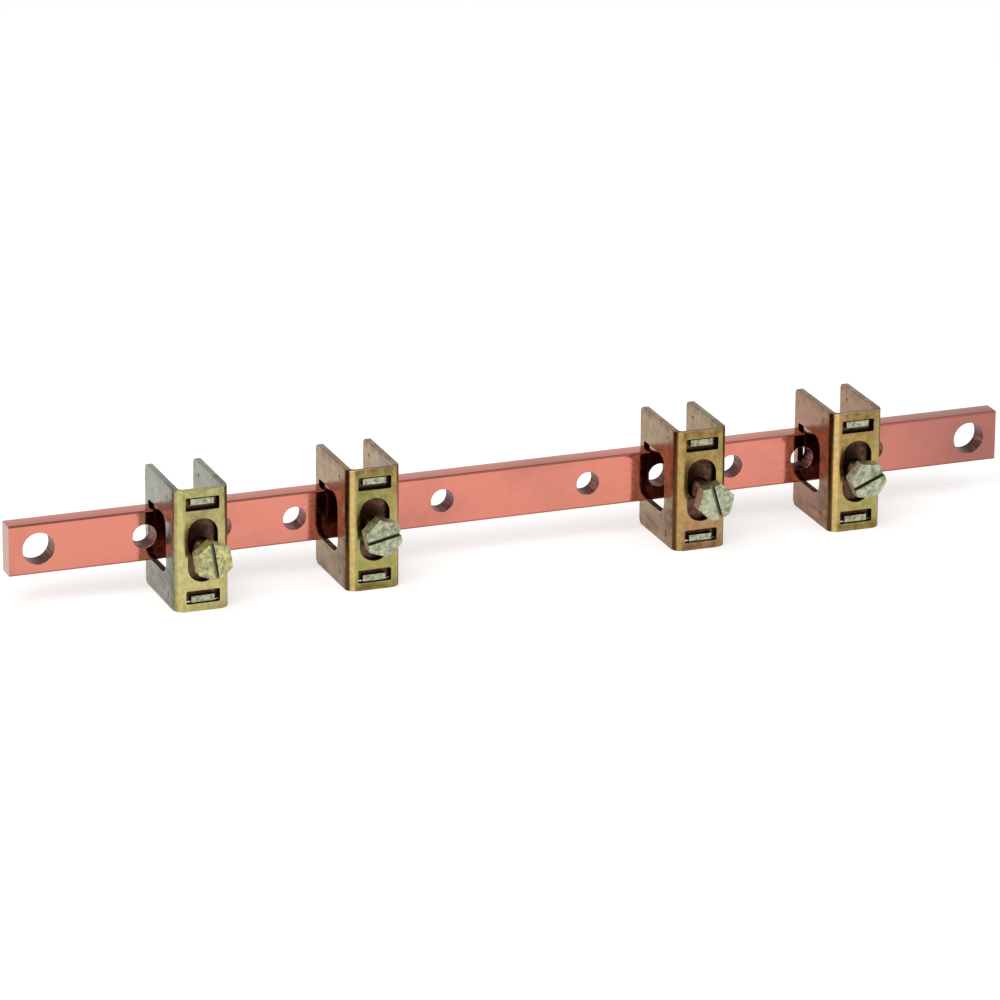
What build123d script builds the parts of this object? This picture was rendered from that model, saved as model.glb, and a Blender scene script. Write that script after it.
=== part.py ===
from build123d import *
import math
import os

# Copper earth bar: a flat copper bar, fixed to a wall through its two end holes, that carries four box
# clamps. Each clamp is a steel sheet folded into a U, with the bar passing through a window in both legs.
# A nut plate hooks into the web, and its screw drives a pressure plate that grips a conductor on the bar.
# Millimetres. X runs along the bar, +Y points to the wall, +Z is up. The origin is the middle of the
# bar's rear face, halfway between the fixing holes. The screws face -Y.

# Bar
BAR_LENGTH = 244.0
BAR_HEIGHT = 12.0
BAR_THICKNESS = 5.0
BAR_EDGE_RADIUS = 0.4
FIXING_HOLE_INSET = 7.0
FIXING_HOLE_DIAMETER = 7.5
TAP_HOLE_PITCH = 18.0
TAP_HOLE_DIAMETER = 5.5
TAP_HOLE_END_ROOM = 15.0

# Where the clamps stand on the bar, and how far each screw has driven its pressure plate from the nut plate
CLAMP_CENTRES = (-80.9, -39.8, 40.5, 79.7)
PLATE_TRAVELS = (2.25, 4.15, 1.55, 3.55)
HEX_ANGLES = (39.0, 42.0, 16.0, 53.0)
SLOT_ANGLES = (99.0, 12.0, 106.0, 23.0)

# Clamp bracket: the folded sheet
SHEET = 1.5
CLAMP_GAP = 10.0
BEND_INNER_RADIUS = 1.0
LEG_CORNER_RADIUS = 1.5

# Window in both legs, measured from the bar that passes through it
WINDOW_PLAY = 1.0
WINDOW_REAR_GAP = 0.2
WINDOW_FRONT_ROOM = 7.6
WINDOW_FRONT_RADIUS = 3.0
WINDOW_REAR_RADIUS = 0.8
WINDOW_UPPER_BRIDGE = 8.0
WINDOW_LOWER_BRIDGE = 7.0
WINDOW_REAR_STRIP = 2.2
WINDOW_FRONT_STRIP = 7.0

# Openings in the web: one tall hole for the screw, and a slot above and below it for the nut plate's hooks
SCREW_OPENING_WIDTH = 7.0
SCREW_OPENING_HEIGHT = 15.0
HOOK_SLOT_WIDTH = 8.0
HOOK_SLOT_HEIGHT = 3.0
HOOK_SLOT_EDGE = 1.9
HOOK_SLOT_CORNER_RADIUS = 0.4

# Pips pressed inwards behind the nut plate, and shallow marks near the legs' rear corners
PIP_RADIUS = 0.6
PIP_HEIGHT = 0.4
PIP_CLEARANCE = 0.3
PIP_EDGE = 3.1
MARK_RADIUS = 0.5
MARK_DEPTH = 0.25
MARK_INSET = 4.0
PUNCH_SIDES = 8
PUNCH_TAPER = 30.0

# Nut plate
NUT_THICKNESS = 3.0
NUT_SIDE_CLEARANCE = 0.2
HOOK_THICKNESS = 1.6
HOOK_END_CLEARANCE = 0.2
HOOK_SIDE_CLEARANCE = 1.2
HOOK_REACH = 1.3

# Screw: hexagon head with a driver slot, and a riveted neck that holds the pressure plate
THREAD_DIAMETER = 5.0
THREAD_CLEARANCE = 0.05
SCREW_LENGTH = 12.0
TIP_CHAMFER = 0.6
HEAD_ACROSS_FLATS = 8.0
HEAD_HEIGHT = 3.5
HEAD_CHAMFER_ANGLE = 30.0
SLOT_WIDTH = 1.0
SLOT_DEPTH = 1.6
NECK_DIAMETER = 3.0
NECK_CLEARANCE = 0.08
RIVET_DIAMETER = 4.2
RIVET_THICKNESS = 0.5

# Pressure plate
PAD_THICKNESS = 1.5
PAD_HEIGHT = 12.0
PAD_SIDE_CLEARANCE = 0.3
PAD_CORNER_RADIUS = 1.5
RIVET_RECESS_DEPTH = 0.7
RIVET_SIDE_CLEARANCE = 0.3
PAD_END_CLEARANCE = 0.05

# Sizes that follow from the ones above
FIXING_SPACING = BAR_LENGTH - 2 * FIXING_HOLE_INSET
TAP_HOLES_PER_SIDE = int((FIXING_SPACING / 2 - TAP_HOLE_END_ROOM) / TAP_HOLE_PITCH)
CLAMP_WIDTH = CLAMP_GAP + 2 * SHEET
WINDOW_HEIGHT = BAR_HEIGHT + 2 * WINDOW_PLAY
WINDOW_DEPTH = WINDOW_REAR_GAP + BAR_THICKNESS + WINDOW_FRONT_ROOM
CLAMP_HEIGHT = WINDOW_HEIGHT + WINDOW_UPPER_BRIDGE + WINDOW_LOWER_BRIDGE
CLAMP_RISE = (WINDOW_UPPER_BRIDGE - WINDOW_LOWER_BRIDGE) / 2
CLAMP_DEPTH = WINDOW_REAR_STRIP + WINDOW_DEPTH + WINDOW_FRONT_STRIP
LEG_REAR_Y = WINDOW_REAR_GAP + WINDOW_REAR_STRIP
WEB_FRONT_Y = LEG_REAR_Y - CLAMP_DEPTH
WEB_REAR_Y = WEB_FRONT_Y + SHEET
NUT_REAR_Y = WEB_REAR_Y + NUT_THICKNESS
HOOK_SLOT_Z = CLAMP_HEIGHT / 2 - HOOK_SLOT_EDGE - HOOK_SLOT_HEIGHT / 2
NECK_LENGTH = PAD_THICKNESS - RIVET_RECESS_DEPTH + 2 * PAD_END_CLEARANCE


def y_cylinder(radius, length, front_y):
    """A round bar along Y, starting at front_y and running to the rear."""
    return Pos(0, front_y + length / 2, 0) * Rot(90, 0, 0) * Cylinder(radius, length)


def y_prism(outline, front_y, length):
    """An outline drawn in X and Z, made into a solid from front_y to the rear."""
    return extrude(Plane.XZ.offset(-front_y) * outline, -length)


def copper_bar():
    """The flat bar, with its edges eased and all of its holes."""
    bar = Pos(0, -BAR_THICKNESS / 2, 0) * Box(BAR_LENGTH, BAR_THICKNESS, BAR_HEIGHT)
    bar = fillet(bar.edges().filter_by(Axis.X), BAR_EDGE_RADIUS)
    holes = [(side * FIXING_SPACING / 2, FIXING_HOLE_DIAMETER) for side in (-1, 1)]
    for step in range(1, TAP_HOLES_PER_SIDE + 1):
        holes += [(side * step * TAP_HOLE_PITCH, TAP_HOLE_DIAMETER) for side in (-1, 1)]
    for x, diameter in holes:
        bar -= Pos(x, 0, 0) * y_cylinder(diameter / 2, BAR_THICKNESS, -BAR_THICKNESS)
    return bar


def folded_sheet():
    """The sheet bent into a U that opens to the rear, with its rear corners rounded."""
    outer = Pos(0, CLAMP_DEPTH / 2) * Rectangle(CLAMP_WIDTH, CLAMP_DEPTH)
    outer = fillet(outer.vertices().group_by(Axis.Y)[0], BEND_INNER_RADIUS + SHEET)
    inner = Pos(0, SHEET + CLAMP_DEPTH / 2) * Rectangle(CLAMP_GAP, CLAMP_DEPTH)
    inner = fillet(inner.vertices().group_by(Axis.Y)[0], BEND_INNER_RADIUS)
    sheet = Pos(0, WEB_FRONT_Y, 0) * extrude(outer - inner, CLAMP_HEIGHT / 2, both=True)
    rear_corners = sheet.edges().filter_by(Axis.X).group_by(Axis.Y)[-1]
    return fillet(rear_corners, LEG_CORNER_RADIUS)


def leg_window():
    """The opening for the bar, cut across both legs at once and centred on the bar."""
    outline = Rectangle(WINDOW_DEPTH, WINDOW_HEIGHT)
    outline = fillet(outline.vertices().group_by(Axis.X)[0], WINDOW_FRONT_RADIUS)
    outline = fillet(outline.vertices().group_by(Axis.X)[-1], WINDOW_REAR_RADIUS)
    middle_y = WINDOW_REAR_GAP - WINDOW_DEPTH / 2
    window = extrude(Plane.YZ * outline, CLAMP_WIDTH / 2, both=True)
    return Pos(0, middle_y, -CLAMP_RISE) * window


def web_openings():
    """The screw's tall opening and the two slots for the hooks."""
    opening_outline = Rot(0, 0, 90) * SlotOverall(SCREW_OPENING_HEIGHT, SCREW_OPENING_WIDTH)
    opening = y_prism(opening_outline, WEB_FRONT_Y, SHEET)
    slot_outline = RectangleRounded(HOOK_SLOT_WIDTH, HOOK_SLOT_HEIGHT, HOOK_SLOT_CORNER_RADIUS)
    slots = [Pos(0, 0, side * HOOK_SLOT_Z) * y_prism(slot_outline, WEB_FRONT_Y, SHEET) for side in (-1, 1)]
    return [opening] + slots


def punch_form(radius, height):
    """The form of a small punch's tip, standing on z = 0 and tapering upwards."""
    return extrude(RegularPolygon(radius, PUNCH_SIDES), height, taper=PUNCH_TAPER)


def pip(side, end):
    """One pip on a leg: the bump inside and the dent that pressing it left outside."""
    y = NUT_REAR_Y + PIP_CLEARANCE + PIP_RADIUS
    z = end * (CLAMP_HEIGHT / 2 - PIP_EDGE)
    pressed = Rot(0, -side * 90, 0) * punch_form(PIP_RADIUS, PIP_HEIGHT)
    bump = Pos(side * CLAMP_GAP / 2, y, z) * pressed
    dent = Pos(side * CLAMP_WIDTH / 2, y, z) * pressed
    return bump, dent


def rear_mark(side, end):
    """A shallow press mark on the inside of a leg, near its rear corner."""
    place = Pos(side * CLAMP_GAP / 2, LEG_REAR_Y - MARK_INSET, end * (CLAMP_HEIGHT / 2 - PIP_EDGE))
    return place * Rot(0, side * 90, 0) * punch_form(MARK_RADIUS, MARK_DEPTH)


def clamp_bracket():
    """The folded sheet with its windows, web openings, pips and marks."""
    bracket = folded_sheet() - leg_window()
    for opening in web_openings():
        bracket -= opening
    for side in (-1, 1):
        for end in (-1, 1):
            bump, dent = pip(side, end)
            bracket = bracket + bump - dent - rear_mark(side, end)
    return bracket


def nut_plate():
    """The threaded plate behind the web, with a hook forward into each slot."""
    hook_tip_z = HOOK_SLOT_Z + HOOK_SLOT_HEIGHT / 2 - HOOK_END_CLEARANCE
    hook_width = HOOK_SLOT_WIDTH - 2 * HOOK_SIDE_CLEARANCE
    body = Pos(0, WEB_REAR_Y + NUT_THICKNESS / 2, 0) * Box(
        CLAMP_GAP - 2 * NUT_SIDE_CLEARANCE, NUT_THICKNESS, 2 * hook_tip_z)
    body = fillet(body.edges().filter_by(Axis.Z).group_by(Axis.Y)[0], BEND_INNER_RADIUS)
    for end in (-1, 1):
        place = Pos(0, WEB_REAR_Y - HOOK_REACH / 2, end * (hook_tip_z - HOOK_THICKNESS / 2))
        body += place * Box(hook_width, HOOK_REACH, HOOK_THICKNESS)
    return body - y_cylinder(THREAD_DIAMETER / 2 + THREAD_CLEARANCE, NUT_THICKNESS, WEB_REAR_Y)


def hex_head(hex_angle, slot_angle):
    """The head in front of y = 0: a hexagon with its front corners turned off, and a slot across it."""
    flat_radius = HEAD_ACROSS_FLATS / 2
    corner_radius = flat_radius / math.cos(math.pi / 6)
    outline = Rot(0, 0, hex_angle) * RegularPolygon(corner_radius, 6)
    head = y_prism(outline, -HEAD_HEIGHT, HEAD_HEIGHT)
    corner_drop = (corner_radius - flat_radius) * math.tan(math.radians(HEAD_CHAMFER_ANGLE))
    turned = revolve(make_face(Polyline(
        (0, -HEAD_HEIGHT),
        (flat_radius, -HEAD_HEIGHT),
        (corner_radius, -HEAD_HEIGHT + corner_drop),
        (corner_radius, 0),
        (0, 0),
        close=True,
    )), Axis.Y)
    slot_place = Pos(0, -HEAD_HEIGHT + SLOT_DEPTH / 2, 0) * Rot(0, -slot_angle, 0)
    slot = slot_place * Box(2 * corner_radius, SLOT_DEPTH, SLOT_WIDTH)
    return (head & turned) - slot


def clamp_screw(hex_angle, slot_angle):
    """The whole screw, with the underside of its head at y = 0."""
    thread = y_cylinder(THREAD_DIAMETER / 2, SCREW_LENGTH, 0)
    thread = chamfer(thread.edges().group_by(Axis.Y)[-1], TIP_CHAMFER)
    neck = y_cylinder(NECK_DIAMETER / 2, NECK_LENGTH, SCREW_LENGTH)
    rivet = y_cylinder(RIVET_DIAMETER / 2, RIVET_THICKNESS, SCREW_LENGTH + NECK_LENGTH)
    return hex_head(hex_angle, slot_angle) + thread + neck + rivet


def pressure_plate():
    """The plate that the screw pushes, with its front face at y = 0 and a recess for the rivet."""
    outline = RectangleRounded(CLAMP_GAP - 2 * PAD_SIDE_CLEARANCE, PAD_HEIGHT, PAD_CORNER_RADIUS)
    plate = y_prism(outline, 0, PAD_THICKNESS)
    plate -= y_cylinder(NECK_DIAMETER / 2 + NECK_CLEARANCE, PAD_THICKNESS, 0)
    recess_y = PAD_THICKNESS - RIVET_RECESS_DEPTH
    return plate - y_cylinder(RIVET_DIAMETER / 2 + RIVET_SIDE_CLEARANCE, RIVET_RECESS_DEPTH, recess_y)


def all_parts():
    """Every node's solid in its place, by name."""
    parts = {"copper_bar": copper_bar()}
    bracket = clamp_bracket()
    nut = nut_plate()
    pad = pressure_plate()
    settings = zip(CLAMP_CENTRES, PLATE_TRAVELS, HEX_ANGLES, SLOT_ANGLES)
    for number, (x, travel, hex_angle, slot_angle) in enumerate(settings, 1):
        pad_y = NUT_REAR_Y + travel
        head_y = pad_y - PAD_END_CLEARANCE - SCREW_LENGTH
        parts[f"clamp_{number}_bracket"] = Pos(x, 0, CLAMP_RISE) * bracket
        parts[f"clamp_{number}_nut_plate"] = Pos(x, 0, CLAMP_RISE) * nut
        parts[f"clamp_{number}_screw"] = Pos(x, head_y, CLAMP_RISE) * clamp_screw(hex_angle, slot_angle)
        parts[f"clamp_{number}_pressure_plate"] = Pos(x, pad_y, CLAMP_RISE) * pad
    return parts


os.makedirs("parts", exist_ok=True)
for name, solid in all_parts().items():
    export_step(solid, f"parts/{name}.step")
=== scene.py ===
"""Copper earth bar with four box clamps: the finishes, the screws' threads, and the picture's stage."""
import bpy
import math
from mathutils import Matrix, Vector


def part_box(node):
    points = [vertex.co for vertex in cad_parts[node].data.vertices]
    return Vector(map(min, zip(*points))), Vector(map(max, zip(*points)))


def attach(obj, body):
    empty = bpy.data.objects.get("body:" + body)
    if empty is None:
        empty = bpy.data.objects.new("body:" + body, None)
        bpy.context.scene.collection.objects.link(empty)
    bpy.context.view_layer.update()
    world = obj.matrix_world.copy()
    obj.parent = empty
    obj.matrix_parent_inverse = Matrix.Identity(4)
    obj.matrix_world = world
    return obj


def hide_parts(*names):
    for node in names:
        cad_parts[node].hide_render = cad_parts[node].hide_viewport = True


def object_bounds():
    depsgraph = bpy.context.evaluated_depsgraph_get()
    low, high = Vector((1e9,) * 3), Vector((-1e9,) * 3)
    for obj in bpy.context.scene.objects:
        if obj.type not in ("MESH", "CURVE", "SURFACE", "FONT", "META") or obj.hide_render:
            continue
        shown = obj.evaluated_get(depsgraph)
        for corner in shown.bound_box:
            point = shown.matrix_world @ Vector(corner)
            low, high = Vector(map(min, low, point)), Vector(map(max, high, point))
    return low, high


bl_info = {
    "name": "Copper earth bar",
    "version": (1, 0, 0),
    "blender": (4, 5, 0),
    "location": "View3D > Sidebar > Earth bar",
    "description": "Dresses the packed earth bar in its metals and sets it on a studio floor",
    "category": "Object",
}

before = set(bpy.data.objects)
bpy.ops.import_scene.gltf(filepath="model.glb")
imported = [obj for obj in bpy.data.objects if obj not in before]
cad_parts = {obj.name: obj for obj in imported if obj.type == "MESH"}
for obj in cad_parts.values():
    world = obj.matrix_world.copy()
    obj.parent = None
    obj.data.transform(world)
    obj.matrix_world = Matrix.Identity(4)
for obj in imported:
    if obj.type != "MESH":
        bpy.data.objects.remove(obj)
CAD_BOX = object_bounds()
MM = 0.001
SAME_POINT = 0.001 * MM
CLAMPS = (1, 2, 3, 4)

# How far each screw is turned, in degrees: its hexagon, then its driver slot
HEX_ANGLES = {1: 39.0, 2: 42.0, 3: 16.0, 4: 53.0}
SLOT_ANGLES = {1: 99.0, 2: 12.0, 3: 106.0, 4: 23.0}


def linear(code):
    """A colour written as six sRGB hex digits, as the linear values that Blender works in."""
    values = [int(code[i:i + 2], 16) / 255 for i in (0, 2, 4)]
    return [v / 12.92 if v <= 0.04045 else ((v + 0.055) / 1.055) ** 2.4 for v in values]


def colour_prop(name, description, code):
    """A colour that the user can change, with its default as sRGB hex."""
    return bpy.props.FloatVectorProperty(
        name=name, description=description, subtype="COLOR", size=3, min=0, max=1, default=linear(code))


def length_prop(name, description, millimetres):
    """A length that the user can change, with its default in millimetres."""
    return bpy.props.FloatProperty(
        name=name, description=description, unit="LENGTH", precision=5, min=0, default=millimetres * MM)


class EarthBarSizes(bpy.types.PropertyGroup):
    """Small sizes that the solids leave out."""
    bar_edge: length_prop("Bar edge", "Rounding along the rims of the bar's holes and ends", 0.12)
    sheet_edge: length_prop("Sheet edge", "Rounding along the edges of the folded sheet", 0.14)
    plate_edge: length_prop("Plate edge", "Rounding along the edges of the nut and pressure plates", 0.15)
    head_across_flats: length_prop("Head across flats", "Width of the screws' hexagon heads", 8.0)
    head_height: length_prop("Head height", "Height of the screws' hexagon heads", 3.5)
    head_face: length_prop("Head face", "Diameter of the flat front of a head, inside its chamfer", 7.7)
    slot_width: length_prop("Slot width", "Width of the driver slot", 0.85)
    slot_depth: length_prop("Slot depth", "Depth of the driver slot", 1.3)
    head_grain: length_prop("Head grain", "Fineness with which a head's edges are rounded over", 0.085)
    thread_pitch: length_prop("Thread pitch", "Distance from one turn of the screw thread to the next", 0.8)
    thread_diameter: length_prop("Thread diameter", "Outer diameter of the screw thread", 4.96)
    neck_diameter: length_prop("Neck diameter", "Plain neck that turns in the pressure plate", 3.0)
    neck_length: length_prop("Neck length", "Length of the plain neck", 0.9)
    rivet_diameter: length_prop("Rivet diameter", "Riveted end that holds the pressure plate", 4.2)
    rivet_thickness: length_prop("Rivet thickness", "Thickness of the riveted end", 0.5)


class EarthBarFinishes(bpy.types.PropertyGroup):
    """Colours of the metals and of the stage."""
    copper: colour_prop("Copper", "Bright drawn copper", "DE8A78")
    copper_dull: colour_prop("Dull copper", "Copper where hands and air have dulled it", "A86E66")
    copper_cut: colour_prop("Sawn copper", "Greyer copper on the bar's sawn ends", "BC8F85")
    # Painted reflection: the dark line along the bar's long rims stands for dark surroundings mirrored in the
    # rounded rims.
    copper_rim_reflection: colour_prop("Copper rim", "Dark line along the bar's long rims", "8E4E45")
    # Painted shade: the dark copper of the hole walls stands for the shadow inside the holes.
    copper_hole_shade: colour_prop("Punched copper", "Torn, darker copper inside the holes", "4E281F")
    film_green: colour_prop("Film green", "Thinnest passivate film, grey-green", "9FA092")
    film_lemon: colour_prop("Film lemon", "Thin passivate film, yellow-green", "C9C07F")
    film_olive: colour_prop("Film olive", "Middling passivate film, olive yellow", "A1A15F")
    film_gold: colour_prop("Film gold", "Thick passivate film, gold", "BC9B60")
    film_tan: colour_prop("Film tan", "Thick passivate film, tan", "AD8F6C")
    film_rose: colour_prop("Film rose", "Thickest passivate film, rose brown", "B07E66")
    # Painted highlight: a pale band painted round the left bend of the sheet.
    film_bend_highlight: colour_prop("Film at the bend", "Thick film on the outside of the bend, pale gold", "E2BF80")
    # Darker tints that the legs take towards the folds and the bottom, and the sheet towards its ends and
    # upper part.
    film_darkening_brown: colour_prop("Worn film", "Brown where the film is worn, by folds and ends", "70522F")
    film_darkening_green: colour_prop("Stained film", "Grey-green where the thinnest film is stained", "565A42")
    # Painted reflection: a dark line painted along the fold, for the dark surroundings that the bend mirrors.
    film_fold_reflection: colour_prop("Film at the fold", "Dark line where the bending tool rubbed the film", "4E3018")
    # Painted shade: the cut walls of the openings are coloured dark, as shadow inside them.
    cut_wall_shade: colour_prop("Sheared edge", "Dark brown cut walls of the stamped openings", "38231A")
    zinc_light: colour_prop("Zinc light", "Light grains of the zinc plate", "C0C3A6")
    zinc_yellow: colour_prop("Zinc yellow", "Light grains where the yellow bath took more", "D2CB88")
    zinc_dark: colour_prop("Zinc dark", "Dark grains of the zinc plate", "80836A")
    # Painted shade: the darker zinc inside the driver slots, also the dark grains of the hooks in the web's
    # slots.
    zinc_slot_shade: colour_prop("Zinc in the slot", "Dull plate inside the driver slots", "7C7E66")
    # Painted shade: dark steel for the threads, the nut plates behind the web's opening and the pressure
    # plates, standing for the shadow there.
    dark_steel_shade: colour_prop("Oiled steel", "Dark, oiled steel of the threads and inner plates", "664A3C")
    floor: colour_prop("Floor", "Pale floor and backdrop", "DCDCDA")


def node(tree, kind, links=None, values=None, **settings):
    """Adds one node, with its settings, its sockets' values and what is linked to its sockets."""
    made = tree.nodes.new(kind)
    for key, value in settings.items():
        setattr(made, key, value)
    for key, value in (values or {}).items():
        made.inputs[key].default_value = value
    for key, source in (links or {}).items():
        tree.links.new(source, made.inputs[key])
    return made


def new_material(name):
    """A node material with only its output, its tree and that output."""
    material = bpy.data.materials.new(name)
    material.use_nodes = True
    material.node_tree.nodes.clear()
    return material, material.node_tree, node(material.node_tree, "ShaderNodeOutputMaterial")


def rgba(colour):
    """A linear colour with its alpha."""
    return list(colour) + [1.0]


def mixed(tree, factor, first, second):
    """The colour between first and second that a factor gives. Either may be a plain colour or a socket."""
    blend = node(tree, "ShaderNodeMix", {"Factor": factor}, data_type="RGBA")
    for key, colour in (("A", first), ("B", second)):
        if isinstance(colour, bpy.types.NodeSocket):
            tree.links.new(colour, blend.inputs[key])
        else:
            blend.inputs[key].default_value = rgba(colour)
    return blend.outputs["Result"]


def ramp(tree, value, start, end, low=0.0, high=1.0):
    """A soft step: low up to start, high from end on."""
    return node(tree, "ShaderNodeMapRange", {"Value": value}, {
        "From Min": start, "From Max": end, "To Min": low, "To Max": high},
        interpolation_type="SMOOTHSTEP").outputs[0]


def maths(tree, operation, *terms):
    """One sum of a material: each term is a number or a socket. What is added up stays between 0 and 1."""
    links = {i: term for i, term in enumerate(terms) if isinstance(term, bpy.types.NodeSocket)}
    values = {i: term for i, term in enumerate(terms) if i not in links}
    made = node(tree, "ShaderNodeMath", links, values, operation=operation, use_clamp=operation == "ADD")
    return made.outputs[0]


def cloud(tree, place, scale, detail=4.0, roughness=0.6, seed=0.0):
    """Irregular patches between about 0.3 and 0.7, at the scale of one over their size in metres."""
    values = {"Scale": scale, "Detail": detail, "Roughness": roughness, "W": seed}
    return node(tree, "ShaderNodeTexNoise", {"Vector": place}, values, noise_dimensions="4D").outputs["Fac"]


def stretched(tree, place, scale):
    """The place, stretched differently along each axis, for lines that run one way."""
    return node(tree, "ShaderNodeMapping", {"Vector": place}, {"Scale": scale}).outputs[0]


def as_metal(tree, output, colour, roughness, height, depth):
    """Ends a metal's tree: its colour, its roughness, and a bump of the given depth."""
    bump = node(tree, "ShaderNodeBump", {"Height": height}, {"Strength": 1.0, "Distance": depth})
    metal = node(tree, "ShaderNodeBsdfPrincipled", {
        "Base Color": colour, "Roughness": roughness, "Normal": bump.outputs[0]}, {"Metallic": 1.0})
    tree.links.new(metal.outputs[0], output.inputs["Surface"])


def drawn_copper(finishes, middle):
    """Electrolytic copper, cold drawn: a bright salmon mirror with fine lines along it and duller patches.

    The lines lie 0.4 mm apart, coarser than a real die leaves, so that they show. The dull patches are
    about 20 mm long, and the end at +X, which is handled most, is duller all over. The long rims carry a
    dark line, a painted reflection of dark surroundings in the rounded rims, and the sawn ends are greyer."""
    material, tree, output = new_material("drawn_copper")
    place = node(tree, "ShaderNodeTexCoord").outputs["Object"]
    lines = cloud(tree, stretched(tree, place, (40, 2500, 2500)), 1.0, 3.0)
    patches = cloud(tree, place, 50.0, 5.0)
    along, depth, up = node(tree, "ShaderNodeSeparateXYZ", {0: place}).outputs
    end = ramp(tree, along, 70 * MM, 122 * MM, 0.0, 0.9)
    blotch = ramp(tree, patches, 0.42, 0.72, 0.0, 0.5)
    tone = mixed(tree, maths(tree, "ADD", end, blotch), finishes.copper, finishes.copper_dull)
    from_middle = [maths(tree, "ABSOLUTE", maths(tree, "SUBTRACT", value, centre))
                   for value, centre in zip((along, depth, up), middle)]
    half = [(b - a) / 2 for a, b in zip(*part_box("copper_bar"))]
    sawn = ramp(tree, from_middle[0], half[0] - 0.3 * MM, half[0] - 0.05 * MM, 0.0, 0.8)
    tone = mixed(tree, sawn, tone, finishes.copper_cut)
    # Painted reflection: a dark line along the long rims.
    rims = [ramp(tree, value, reach - 0.55 * MM, reach - 0.25 * MM, 0.0, 0.9)
            for value, reach in zip(from_middle[1:], half[1:])]
    tone = mixed(tree, maths(tree, "MULTIPLY", *rims), tone, finishes.copper_rim_reflection)
    rough = ramp(tree, lines, 0.3, 0.7, 0.05, 0.15)
    as_metal(tree, output, tone, rough, lines, 0.0015 * MM)
    return material


def shaded_hole_copper(finishes):
    """The wall of a punched hole: rough copper coloured dark as painted shade inside the hole, with streaks
    through the bar's thickness.

    The streaks lie about 0.5 mm apart round the hole."""
    material, tree, output = new_material("hole_wall_copper_painted_shade")
    place = node(tree, "ShaderNodeTexCoord").outputs["Object"]
    streaks = cloud(tree, stretched(tree, place, (2000, 150, 2000)), 1.0, 3.0)
    tone = mixed(tree, ramp(tree, streaks, 0.45, 0.8), finishes.copper_hole_shade, finishes.copper)
    as_metal(tree, output, tone, ramp(tree, streaks, 0.3, 0.7, 0.25, 0.5), streaks, 0.05 * MM)
    return material


# Places on the folded sheet, as distances in front of the bar's rear face
LEG_FILM_ENDS = 17.2 * MM
WEB_FILM_STARTS = 18.8 * MM
# Where the painted dark reflection along the fold runs:
FOLD_REFLECTION_LINE = 18.3 * MM
# Where the painted highlight round the bend starts and ends:
BEND_HIGHLIGHT_STARTS = (18.7 * MM, 19.0 * MM)
BEND_HIGHLIGHT_ENDS = (19.4 * MM, 19.58 * MM)


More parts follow.
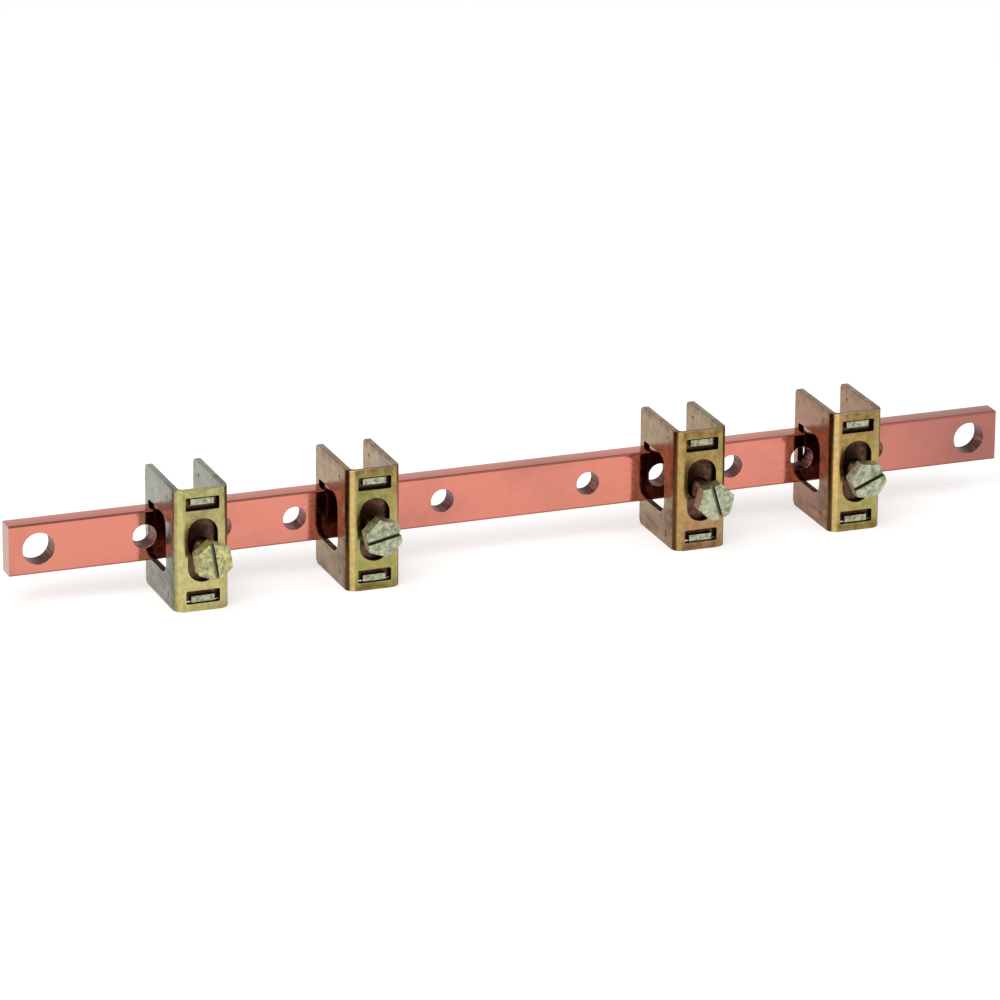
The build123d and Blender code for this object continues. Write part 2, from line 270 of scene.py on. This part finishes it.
def passivated_zinc(name, middle, tints, seed):
    """Zinc plate on folded steel, yellow passivated: a thin film whose colour shifts with its thickness.

    It dries to one tint on the legs and another on the web, in patches about 5 mm across. The legs turn
    darker towards the folds and the bottom and in scratches, and the sheet darkens towards its ends and from
    the middle upwards. A dark line along the fold is a painted reflection, and a pale band round the left
    bend is a painted highlight. Rolling lines run up and down the web, 0.6 mm apart, coarser than real."""
    material, tree, output = new_material(name)
    place = node(tree, "ShaderNodeTexCoord").outputs["Object"]
    to_centre = {"Location": [-value for value in middle]}
    centred = node(tree, "ShaderNodeMapping", {"Vector": place}, to_centre).outputs[0]
    across, _, up = node(tree, "ShaderNodeSeparateXYZ", {0: centred}).outputs
    depth = node(tree, "ShaderNodeSeparateXYZ", {0: place}).outputs["Y"]
    film = cloud(tree, centred, 190.0, seed=seed)
    to_web = ramp(tree, depth, -LEG_FILM_ENDS, -WEB_FILM_STARTS)
    tone = mixed(tree, to_web, tints["legs"], tints["web"])
    patchy = maths(tree, "MAXIMUM", ramp(tree, film, 0.48, 0.66, 0.0, tints["patches"]),
                   ramp(tree, across, 1 * MM, 6 * MM, 0.0, 0.5))
    patchy = maths(tree, "MULTIPLY", patchy, maths(tree, "MAXIMUM", to_web, 0.3))
    tone = mixed(tree, patchy, tone, tints["accent"])
    below = maths(tree, "MULTIPLY", ramp(tree, up, -4 * MM, -9 * MM, 0.0, 0.6), to_web)
    tone = mixed(tree, below, tone, tints["below"])
    # Darker towards the folds and the bottom of the legs, in scratches, towards the ends and from the middle
    # upwards.
    by_fold = ramp(tree, depth, -8 * MM, -17 * MM, 0.0, 0.55)
    low = ramp(tree, up, 4 * MM, -13 * MM, 0.0, 0.25)
    scratched = cloud(tree, stretched(tree, place, (500, 70, 800)), 1.0, 3.0, seed=seed)
    scratched = ramp(tree, scratched, 0.46, 0.68, 0.0, 0.5)
    on_legs = maths(tree, "ADD", maths(tree, "ADD", by_fold, low), scratched)
    on_legs = maths(tree, "MULTIPLY", on_legs, maths(tree, "SUBTRACT", 1.0, to_web))
    ends = ramp(tree, maths(tree, "ABSOLUTE", up), 10.5 * MM, 14.2 * MM, 0.0, tints["darkening_at_ends"])
    ends = maths(tree, "MAXIMUM", ends, ramp(tree, up, 3 * MM, 9 * MM, 0.0, 0.35))
    spots = ramp(tree, cloud(tree, place, 420.0, 2.0, seed=seed), 0.35, 0.65, 0.45, 1.25)
    worn = maths(tree, "MULTIPLY", maths(tree, "MAXIMUM", on_legs, ends), spots)
    tone = mixed(tree, worn, tone, tints["worn"])
    # Painted highlight: a pale band round the bend, strongest on the left.
    bend_highlight = maths(tree, "MULTIPLY", ramp(tree, depth, -BEND_HIGHLIGHT_STARTS[0], -BEND_HIGHLIGHT_STARTS[1]),
                       ramp(tree, depth, -BEND_HIGHLIGHT_ENDS[1], -BEND_HIGHLIGHT_ENDS[0]))
    bend_highlight = maths(tree, "MULTIPLY", bend_highlight, ramp(tree, across, 2 * MM, -2 * MM, 0.1, 0.8))
    tone = mixed(tree, bend_highlight, tone, tints["bend"])
    # Painted reflection: a dark line along the fold, strong on clamps 2 to 4 and faint on clamp 1.
    forward = maths(tree, "MULTIPLY", depth, -1.0)
    from_fold_reflection = maths(tree, "ABSOLUTE", maths(tree, "SUBTRACT", forward, FOLD_REFLECTION_LINE))
    tone = mixed(tree, ramp(tree, from_fold_reflection, 0.35 * MM, 0.75 * MM, tints["rubbed"], 0.0), tone, tints["fold"])
    lines = cloud(tree, stretched(tree, place, (1600, 1600, 110)), 1.0, 3.0)
    grain = cloud(tree, place, 900.0, 3.0)
    speckle = ramp(tree, grain, 0.3, 0.72, 0.80, 1.08)
    shaded = node(tree, "ShaderNodeVectorMath", {0: tone, 1: speckle}, operation="MULTIPLY").outputs[0]
    height = maths(tree, "ADD", maths(tree, "MULTIPLY", lines, 0.5), maths(tree, "MULTIPLY", grain, 0.5))
    as_metal(tree, output, shaded, ramp(tree, film, 0.3, 0.7, 0.14, 0.30), height, 0.016 * MM)
    return material


def shaded_cut_wall(finishes):
    """The cut wall of a stamped opening: steel coloured dark brown, a painted shade inside the opening."""
    material, tree, output = new_material("steel_cut_wall_painted_shade")
    place = node(tree, "ShaderNodeTexCoord").outputs["Object"]
    stain = cloud(tree, place, 800.0)
    tone = mixed(tree, stain, finishes.cut_wall_shade, [value * 0.5 for value in finishes.cut_wall_shade])
    as_metal(tree, output, tone, ramp(tree, stain, 0.3, 0.7, 0.35, 0.6), stain, 0.03 * MM)
    return material


def mottled_zinc(name, light, dark, patch_size, seed):
    """Zinc plate on cold-formed steel: a pale skin of dull and bright patches, pitted between them."""
    material, tree, output = new_material(name)
    place = node(tree, "ShaderNodeTexCoord").outputs["Object"]
    patches = cloud(tree, place, 1 / patch_size, 5.0, 0.7, seed)
    pits = node(tree, "ShaderNodeTexVoronoi", {"Vector": place}, {"Scale": 1.6 / patch_size, "W": seed},
                voronoi_dimensions="4D", feature="SMOOTH_F1").outputs["Distance"]
    tone = mixed(tree, ramp(tree, patches, 0.36, 0.62), dark, light)
    height = maths(tree, "ADD", maths(tree, "MULTIPLY", pits, 0.5), maths(tree, "MULTIPLY", patches, 0.5))
    as_metal(tree, output, tone, ramp(tree, patches, 0.3, 0.7, 0.45, 0.28), height, 0.12 * MM)
    return material


def dark_steel_shade(finishes):
    """Dark steel for the threads and hidden plates, a painted shade, smeared darker in patches."""
    material, tree, output = new_material("steel_painted_shade")
    place = node(tree, "ShaderNodeTexCoord").outputs["Object"]
    smear = cloud(tree, place, 700.0)
    darkest_smear = [value * 0.3 for value in finishes.dark_steel_shade]
    tone = mixed(tree, ramp(tree, smear, 0.35, 0.7), finishes.dark_steel_shade, darkest_smear)
    as_metal(tree, output, tone, ramp(tree, smear, 0.3, 0.7, 0.2, 0.4), smear, 0.02 * MM)
    return material


def select_only(*pieces):
    """Makes these the only selected objects, and the first of them the active one."""
    if bpy.context.object and bpy.context.object.mode != "OBJECT":
        bpy.ops.object.mode_set(mode="OBJECT")
    bpy.ops.object.select_all(action="DESELECT")
    for piece in pieces:
        piece.select_set(True)
    bpy.context.view_layer.objects.active = pieces[0]


def edit_faces(piece, chosen):
    """Opens the piece in edit mode with only those faces selected that chosen picks."""
    select_only(piece)
    bpy.context.tool_settings.mesh_select_mode = (False, False, True)
    for item in (*piece.data.vertices, *piece.data.edges):
        item.select = False
    for face in piece.data.polygons:
        face.select = chosen(face)
    bpy.ops.object.mode_set(mode="EDIT")


def apply_modifier(piece, kind, **settings):
    """Adds one modifier to the piece, sets it and applies it."""
    select_only(piece)
    modifier = piece.modifiers.new(kind.lower(), kind)
    for key, value in settings.items():
        setattr(modifier, key, value)
    bpy.ops.object.modifier_apply(modifier=modifier.name)


def copy_of_solid(cad_node, name):
    """A new piece with the solid's own mesh, its triangles merged into whole faces."""
    piece = bpy.data.objects.new(name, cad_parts[cad_node].data.copy())
    piece.data.materials.clear()
    bpy.context.scene.collection.objects.link(piece)
    select_only(piece)
    bpy.ops.object.mode_set(mode="EDIT")
    bpy.ops.mesh.select_all(action="SELECT")
    bpy.ops.mesh.customdata_custom_splitnormals_clear()
    bpy.ops.mesh.remove_doubles(threshold=SAME_POINT)
    bpy.ops.mesh.dissolve_limited(angle_limit=math.radians(0.5))
    bpy.ops.object.mode_set(mode="OBJECT")
    return piece


def ease_edges(piece, width, sharpest=40):
    """Rounds each edge that turns by more than sharpest degrees, and smooths the round faces."""
    select_only(piece)
    bpy.ops.object.shade_smooth_by_angle(angle=math.radians(sharpest))
    apply_modifier(piece, "BEVEL", limit_method="ANGLE", angle_limit=math.radians(sharpest), width=width,
                   segments=2, use_clamp_overlap=False, harden_normals=True)


def dress(piece, *materials):
    """Gives the piece its materials. Its faces keep their slot numbers."""
    slots = [face.material_index for face in piece.data.polygons]
    piece.data.materials.clear()
    for material in materials:
        piece.data.materials.append(material)
    piece.data.polygons.foreach_set("material_index", slots)


def place_in_frame(piece, body, cad_node):
    """Makes the finished piece stand for its solid, on the solid's body."""
    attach(piece, body)
    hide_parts(cad_node)


def middle_of(cad_node):
    """The middle of a solid's box."""
    low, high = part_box(cad_node)
    return (low + high) / 2


class EARTHBAR_OT_bar(bpy.types.Operator):
    """Dress the flat copper bar"""
    bl_idname = "earthbar.bar"
    bl_label = "Copper bar"

    def execute(self, context):
        scene = context.scene
        bar = copy_of_solid("copper_bar", "drawn_copper_bar")
        ease_edges(bar, scene.earth_bar_sizes.bar_edge)
        low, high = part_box("copper_bar")
        inside = 0.8 * MM
        for face in bar.data.polygons:
            x, z = face.center.x, face.center.z
            away = low.x + inside < x < high.x - inside and low.z + inside < z < high.z - inside
            # Hole walls take the dark copper of painted shade.
            face.material_index = 1 if away and abs(face.normal.y) < 0.5 else 0
        finishes = scene.earth_bar_finishes
        dress(bar, drawn_copper(finishes, middle_of("copper_bar")), shaded_hole_copper(finishes))
        place_in_frame(bar, "bar", "copper_bar")
        return {"FINISHED"}


# Limits that pick out the walls of a bracket's openings. From the bracket's middle, up or down and sideways:
WINDOW_REACH = 9 * MM
SLOT_REACH = 13.5 * MM
SLOT_HALF_WIDTH = 4.5 * MM
# Behind the web's front:
WINDOW_FRONT = 2 * MM
SHEET_THICKNESS = 1.5 * MM
# Behind the bar's rear face:
WINDOW_REAR = 1 * MM


def film_tints(finishes, number):
    """One clamp's film tints, for each came out of the bath a little different, with how much its darker
    tints, its painted dark fold line and its painted bend highlight show.
    """
    green, lemon, olive = finishes.film_green, finishes.film_lemon, finishes.film_olive
    gold, tan, rose, pale = finishes.film_gold, finishes.film_tan, finishes.film_rose, finishes.film_bend_highlight
    legs, web, accent, bend, below = {
        1: (green, lemon, tan, lemon, lemon),
        2: (tan, olive, gold, pale, olive),
        3: (tan, gold, olive, gold, rose),
        4: (rose, gold, olive, pale, olive),
    }[number]
    plain = number == 1
    return {"legs": legs, "web": web, "accent": accent, "bend": bend, "below": below,
            "worn": finishes.film_darkening_green if plain else finishes.film_darkening_brown,
            "fold": finishes.film_fold_reflection, "rubbed": 0.2 if plain else 0.9,
            "patches": 0.45 if plain else 0.7, "darkening_at_ends": 0.25 if plain else 0.7}


class EARTHBAR_OT_brackets(bpy.types.Operator):
    """Dress the four folded sheets"""
    bl_idname = "earthbar.brackets"
    bl_label = "Clamp brackets"

    def execute(self, context):
        scene = context.scene
        cut_wall_shade = shaded_cut_wall(scene.earth_bar_finishes)
        for number in CLAMPS:
            cad_node = f"clamp_{number}_bracket"
            sheet = copy_of_solid(cad_node, f"clamp_{number}_folded_sheet")
            ease_edges(sheet, scene.earth_bar_sizes.sheet_edge)
            middle = middle_of(cad_node)
            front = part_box(cad_node)[0].y
            for face in sheet.data.polygons:
                place, normal = face.center - middle, face.normal
                in_leg = (abs(normal.x) < 0.5 and abs(place.z) < WINDOW_REACH
                          and front + WINDOW_FRONT < face.center.y < WINDOW_REAR)
                in_web = (abs(normal.y) < 0.5 and abs(place.z) < SLOT_REACH
                          and abs(place.x) < SLOT_HALF_WIDTH and face.center.y < front + SHEET_THICKNESS)
                # Walls of the windows and the web's openings take the dark cut-wall colour, a painted shade.
                face.material_index = 1 if in_leg or in_web else 0
            tints = film_tints(scene.earth_bar_finishes, number)
            film = passivated_zinc(f"yellow_passivated_sheet_{number}", middle, tints, float(number))
            dress(sheet, film, cut_wall_shade)
            place_in_frame(sheet, f"clamp_{number}", cad_node)
        return {"FINISHED"}


class EARTHBAR_OT_nut_plates(bpy.types.Operator):
    """Dress the nut plates: zinc on the hooks that show, dark steel of painted shade behind the web"""
    bl_idname = "earthbar.nut_plates"
    bl_label = "Nut plates"

    def execute(self, context):
        scene = context.scene
        finishes = scene.earth_bar_finishes
        steel_shade = dark_steel_shade(finishes)
        # The hooks mottle between light zinc and the slots' darker colour of painted shade.
        hooks = mottled_zinc("zinc_plated_hook", finishes.zinc_light, finishes.zinc_slot_shade, 0.7 * MM, 5.0)
        for number in CLAMPS:
            cad_node = f"clamp_{number}_nut_plate"
            nut = copy_of_solid(cad_node, f"clamp_{number}_hooked_nut")
            ease_edges(nut, scene.earth_bar_sizes.plate_edge)
            behind_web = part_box(f"clamp_{number}_bracket")[0].y + 1.4 * MM
            for face in nut.data.polygons:
                # Front faces at the web's slots take the hooks' zinc; the rest, the face in the opening too,
                # takes the dark steel of painted shade.
                face.material_index = 1 if face.center.y < behind_web and face.normal.y < -0.5 else 0
            dress(nut, steel_shade, hooks)
            place_in_frame(nut, f"clamp_{number}", cad_node)
        return {"FINISHED"}


def slotted_head(sizes, hex_angle, slot_angle):
    """A hexagon head from y = 0 forwards: a chamfered disc with six flats sliced off and a slot cut in."""
    flat_radius = sizes.head_across_flats / 2
    corner_radius = flat_radius / math.cos(math.pi / 6)
    face_radius = sizes.head_face / 2
    chamfer = (corner_radius - face_radius) * math.tan(math.radians(30))
    depth = sizes.head_height - chamfer
    bpy.ops.object.select_all(action="DESELECT")
    bpy.ops.mesh.primitive_cylinder_add(
        vertices=96, radius=corner_radius, depth=depth, location=(0, -depth / 2, 0),
        rotation=(math.pi / 2, 0, 0))
    head = bpy.context.object
    bpy.ops.object.transform_apply(location=True, rotation=True, scale=True)
    edit_faces(head, lambda face: face.normal.y < -0.9)
    bpy.ops.mesh.extrude_region_move(TRANSFORM_OT_translate={"value": (0, -chamfer, 0)})
    shrink = face_radius / corner_radius
    bpy.ops.transform.resize(value=(shrink, 1, shrink), center_override=(0, -sizes.head_height, 0))
    for side in range(6):
        angle = math.radians(30 + 60 * side)
        away = Vector((math.cos(angle), 0, math.sin(angle)))
        bpy.ops.mesh.select_all(action="SELECT")
        bpy.ops.mesh.bisect(plane_co=away * flat_radius, plane_no=away, use_fill=True, clear_outer=True)
    bpy.ops.mesh.select_all(action="SELECT")
    bpy.ops.mesh.remove_doubles(threshold=SAME_POINT)
    bpy.ops.object.mode_set(mode="OBJECT")
    turn = math.radians(slot_angle - hex_angle)
    bpy.ops.mesh.primitive_cube_add(
        size=1, location=(0, -sizes.head_height, 0), rotation=(0, -turn, 0),
        scale=(3 * corner_radius, 2 * sizes.slot_depth, sizes.slot_width))
    cutter = bpy.context.object
    apply_modifier(head, "BOOLEAN", object=cutter, operation="DIFFERENCE", solver="EXACT")
    bpy.data.objects.remove(cutter)
    apply_modifier(head, "REMESH", mode="VOXEL", voxel_size=sizes.head_grain)
    apply_modifier(head, "SMOOTH", factor=0.5, iterations=3)
    apply_modifier(head, "DECIMATE", ratio=0.3)
    across = Vector((-math.sin(turn), 0, math.cos(turn)))
    # Faces inside the driver slot take the darker slot colour, a painted shade.
    for face in head.data.polygons:
        in_slot = abs(face.center.dot(across)) < sizes.slot_width * 0.56
        below = -sizes.head_height + 0.25 * MM < face.center.y < -sizes.head_height + sizes.slot_depth * 1.1
        face.material_index = 1 if in_slot and below else 0
    head.data.transform(Matrix.Rotation(-math.radians(hex_angle), 4, "Y"))
    return head


# Depth of a metric outer thread, as a share of its pitch
THREAD_DEPTH = 0.61


def threaded_shank(sizes, length):
    """A right-hand thread along +Y from y = 0, closed at both ends: one pitch, swept as a helix."""
    pitch, crest = sizes.thread_pitch, sizes.thread_diameter / 2
    root = crest - THREAD_DEPTH * pitch
    outline = [(root, 0), (root, pitch / 4), (crest, pitch * 9 / 16), (crest, pitch * 11 / 16), (root, pitch)]
    mesh = bpy.data.meshes.new("thread")
    steps = [(i, i + 1) for i in range(len(outline) - 1)]
    mesh.from_pydata([(x, y - pitch, 0) for x, y in outline], steps, [])
    shank = bpy.data.objects.new("thread", mesh)
    bpy.context.scene.collection.objects.link(shank)
    apply_modifier(shank, "SCREW", axis="Y", angle=2 * math.pi, screw_offset=pitch, steps=32,
                   render_steps=32, iterations=math.ceil(length / pitch) + 2, use_merge_vertices=True,
                   merge_threshold=SAME_POINT)
    bpy.ops.object.mode_set(mode="EDIT")
    for y, far in ((0, False), (length, True)):
        bpy.ops.mesh.select_all(action="SELECT")
        bpy.ops.mesh.bisect(plane_co=(0, y, 0), plane_no=(0, 1, 0), use_fill=True,
                            clear_outer=far, clear_inner=not far)
    bpy.ops.mesh.select_all(action="SELECT")
    bpy.ops.mesh.remove_doubles(threshold=SAME_POINT)
    bpy.ops.mesh.normals_make_consistent(inside=False)
    bpy.ops.object.mode_set(mode="OBJECT")
    return shank


def riveted_tip(sizes, start):
    """The neck and the riveted end beyond the thread, from one disc extruded and widened."""
    neck, rivet = sizes.neck_diameter / 2, sizes.rivet_diameter / 2
    bpy.ops.object.select_all(action="DESELECT")
    bpy.ops.mesh.primitive_cylinder_add(
        vertices=48, radius=neck, depth=sizes.neck_length, location=(0, start + sizes.neck_length / 2, 0),
        rotation=(math.pi / 2, 0, 0))
    tip = bpy.context.object
    bpy.ops.object.transform_apply(location=True, rotation=True, scale=True)
    edit_faces(tip, lambda face: face.normal.y > 0.9)
    end = start + sizes.neck_length
    for step, scale in ((0, rivet / neck), (sizes.rivet_thickness, 1)):
        bpy.ops.mesh.extrude_region_move(TRANSFORM_OT_translate={"value": (0, step, 0)})
        bpy.ops.transform.resize(value=(scale, 1, scale), center_override=(0, end + step, 0))
    bpy.ops.object.mode_set(mode="OBJECT")
    ease_edges(tip, 0.1 * MM)
    return tip


class EARTHBAR_OT_screws(bpy.types.Operator):
    """Model the four clamp screws: slotted heads, M5 threads and riveted tips"""
    bl_idname = "earthbar.screws"
    bl_label = "Clamp screws"

    def execute(self, context):
        scene = context.scene
        sizes, finishes = scene.earth_bar_sizes, scene.earth_bar_finishes
        yellow = mottled_zinc("yellowed_zinc_plate", finishes.zinc_yellow, finishes.zinc_dark, 1.1 * MM, 1.0)
        pale = mottled_zinc("dull_zinc_plate", finishes.zinc_light, finishes.zinc_dark, 1.1 * MM, 3.0)
        # The slot's darker zinc and the threads' dark steel are painted shade.
        slot = mottled_zinc("zinc_in_slot_painted_shade", finishes.zinc_slot_shade, finishes.zinc_dark, 1.1 * MM, 4.0)
        steel_shade = dark_steel_shade(finishes)
        for number in CLAMPS:
            cad_node = f"clamp_{number}_screw"
            low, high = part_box(cad_node)
            length = high.y - low.y - sizes.head_height - sizes.neck_length - sizes.rivet_thickness
            screw = slotted_head(sizes, HEX_ANGLES[number], SLOT_ANGLES[number])
            shank, tip = threaded_shank(sizes, length), riveted_tip(sizes, length)
            dress(screw, yellow if number == 1 else pale, slot)
            dress(shank, steel_shade)
            dress(tip, steel_shade)
            select_only(screw, shank, tip)
            bpy.ops.object.join()
            centre = middle_of(f"clamp_{number}_nut_plate")
            screw.data.transform(Matrix.Translation((centre.x, low.y + sizes.head_height, centre.z)))
            screw.name = f"clamp_{number}_threaded_screw"
            bpy.ops.object.shade_smooth_by_angle(angle=math.radians(35))
            place_in_frame(screw, f"screw_{number}", cad_node)
        return {"FINISHED"}


class EARTHBAR_OT_pressure_plates(bpy.types.Operator):
    """Dress the plates that the screws press onto a conductor"""
    bl_idname = "earthbar.pressure_plates"
    bl_label = "Pressure plates"

    def execute(self, context):
        scene = context.scene
        # Dark steel, a painted shade.
        steel_shade = dark_steel_shade(scene.earth_bar_finishes)
        for number in CLAMPS:
            cad_node = f"clamp_{number}_pressure_plate"
            plate = copy_of_solid(cad_node, f"clamp_{number}_riveted_plate")
            ease_edges(plate, scene.earth_bar_sizes.plate_edge)
            dress(plate, steel_shade)
            place_in_frame(plate, f"pressure_plate_{number}", cad_node)
        return {"FINISHED"}


# The share of the floor's added brightness that reflections get
REFLECTED_SHARE = 0.78
# Side of the square floor, in metres
FLOOR_SIZE = 8

# The picture's camera, fitted to the bar's edges and holes: degrees, metres, and the lens on a 36 mm frame
CAMERA_AZIMUTH = -20.97
CAMERA_ELEVATION = 19.41
CAMERA_ROLL = 0.45
CAMERA_DISTANCE = 1.5282
CAMERA_LENS = 238.13
CAMERA_TARGET = (-3.79 * MM, -5.0 * MM, -1.50 * MM)


def aimed(azimuth, elevation, roll=0.0):
    """The turn of a camera or lamp that looks at the object. Azimuth 0 looks from -Y."""
    return (Matrix.Rotation(math.radians(azimuth), 4, "Z")
            @ Matrix.Rotation(math.radians(90 - elevation), 4, "X")
            @ Matrix.Rotation(math.radians(roll), 4, "Z"))


def shown_white(tree):
    """1 for rays from the camera, a little less for reflections, and 0 for the rays that light the object."""
    rays = node(tree, "ShaderNodeLightPath").outputs
    reflected = maths(tree, "MULTIPLY", rays["Is Glossy Ray"], REFLECTED_SHARE)
    return maths(tree, "MAXIMUM", rays["Is Camera Ray"], reflected)


def studio_floor(finishes):
    """A pale matt floor, brighter to the camera and in reflections, with the object's shadow kept."""
    material, tree, output = new_material("studio_floor")
    matt = node(tree, "ShaderNodeBsdfDiffuse", values={"Color": rgba(finishes.floor)})
    lift = node(tree, "ShaderNodeEmission", {"Strength": shown_white(tree)}, {"Color": (0.5, 0.5, 0.5, 1)})
    both = node(tree, "ShaderNodeAddShader", {0: matt.outputs[0], 1: lift.outputs[0]})
    tree.links.new(both.outputs[0], output.inputs["Surface"])
    return material


def studio_world():
    """White walls for the camera and in reflections, a dimmer ceiling, and softer light on the object."""
    world = bpy.data.worlds.new("soft_surroundings")
    world.use_nodes = True
    tree = world.node_tree
    tree.nodes.clear()
    towards = node(tree, "ShaderNodeTexCoord").outputs["Generated"]
    height = node(tree, "ShaderNodeSeparateXYZ", {0: towards}).outputs["Z"]
    wall = node(tree, "ShaderNodeMapRange", {"Value": height}, {
        "From Min": 0.1, "From Max": 0.6, "To Min": 0.95, "To Max": 0.45})
    rays = node(tree, "ShaderNodeLightPath").outputs
    reflected = maths(tree, "MULTIPLY", rays["Is Glossy Ray"], wall.outputs[0])
    seen = maths(tree, "MAXIMUM", rays["Is Camera Ray"], reflected)
    strength = maths(tree, "MAXIMUM", seen, 0.5)
    sky = node(tree, "ShaderNodeBackground", {"Strength": strength}, {"Color": (1, 1, 1, 1)})
    tree.links.new(sky.outputs[0], node(tree, "ShaderNodeOutputWorld").inputs["Surface"])
    return world


def softbox(name, azimuth, elevation, distance, size, power):
    """A square area lamp that faces the object."""
    data = bpy.data.lights.new(name, "AREA")
    data.shape = "SQUARE"
    data.size = size
    data.energy = power
    lamp = bpy.data.objects.new(name, data)
    bpy.context.scene.collection.objects.link(lamp)
    turn = aimed(azimuth, elevation)
    lamp.matrix_world = Matrix.Translation(turn @ Vector((0, 0, distance))) @ turn


class EARTHBAR_OT_stage(bpy.types.Operator):
    """Set the floor, the lamps and the camera"""
    bl_idname = "earthbar.stage"
    bl_label = "Stage"

    def execute(self, context):
        scene = context.scene
        bpy.ops.object.select_all(action="DESELECT")
        bpy.ops.mesh.primitive_plane_add(size=FLOOR_SIZE, location=(0, 0, CAD_BOX[0][2]))
        floor = context.object
        floor.name = "studio_floor"
        bpy.ops.object.transform_apply(location=True)
        floor.data.materials.append(studio_floor(scene.earth_bar_finishes))
        scene.world = studio_world()
        softbox("key_softbox", azimuth=-50, elevation=50, distance=0.9, size=0.7, power=4.0)
        softbox("fill_softbox", azimuth=50, elevation=40, distance=1.0, size=0.8, power=2.0)
        data = bpy.data.cameras.new("picture_camera")
        data.lens = CAMERA_LENS
        data.sensor_width = 36
        data.clip_start = 0.05
        data.clip_end = 50
        camera = bpy.data.objects.new("picture_camera", data)
        scene.collection.objects.link(camera)
        turn = aimed(CAMERA_AZIMUTH, CAMERA_ELEVATION, CAMERA_ROLL)
        eye = Vector(CAMERA_TARGET) + turn @ Vector((0, 0, CAMERA_DISTANCE))
        camera.matrix_world = Matrix.Translation(eye) @ turn
        scene.camera = camera
        scene.view_settings.view_transform = "Standard"
        return {"FINISHED"}


class EARTHBAR_PT_panel(bpy.types.Panel):
    """The earth bar's sizes, colours and steps"""
    bl_idname = "EARTHBAR_PT_panel"
    bl_label = "Copper earth bar"
    bl_space_type = "VIEW_3D"
    bl_region_type = "UI"
    bl_category = "Earth bar"

    def draw(self, context):
        for group in (context.scene.earth_bar_sizes, context.scene.earth_bar_finishes):
            box = self.layout.box()
            for name in group.bl_rna.properties.keys():
                if name not in ("rna_type", "name"):
                    box.prop(group, name)
        for step in STEPS:
            self.layout.operator(step.bl_idname)


STEPS = (EARTHBAR_OT_bar, EARTHBAR_OT_brackets, EARTHBAR_OT_nut_plates, EARTHBAR_OT_screws,
         EARTHBAR_OT_pressure_plates, EARTHBAR_OT_stage)
CLASSES = (EarthBarSizes, EarthBarFinishes, *STEPS, EARTHBAR_PT_panel)


def register():
    for part in CLASSES:
        bpy.utils.register_class(part)
    bpy.types.Scene.earth_bar_sizes = bpy.props.PointerProperty(type=EarthBarSizes)
    bpy.types.Scene.earth_bar_finishes = bpy.props.PointerProperty(type=EarthBarFinishes)


def unregister():
    del bpy.types.Scene.earth_bar_finishes
    del bpy.types.Scene.earth_bar_sizes
    for part in reversed(CLASSES):
        bpy.utils.unregister_class(part)


def main():
    register()
    bpy.ops.earthbar.bar()
    bpy.ops.earthbar.brackets()
    bpy.ops.earthbar.nut_plates()
    bpy.ops.earthbar.screws()
    bpy.ops.earthbar.pressure_plates()
    bpy.ops.earthbar.stage()


if __name__ == "__main__":
    main()
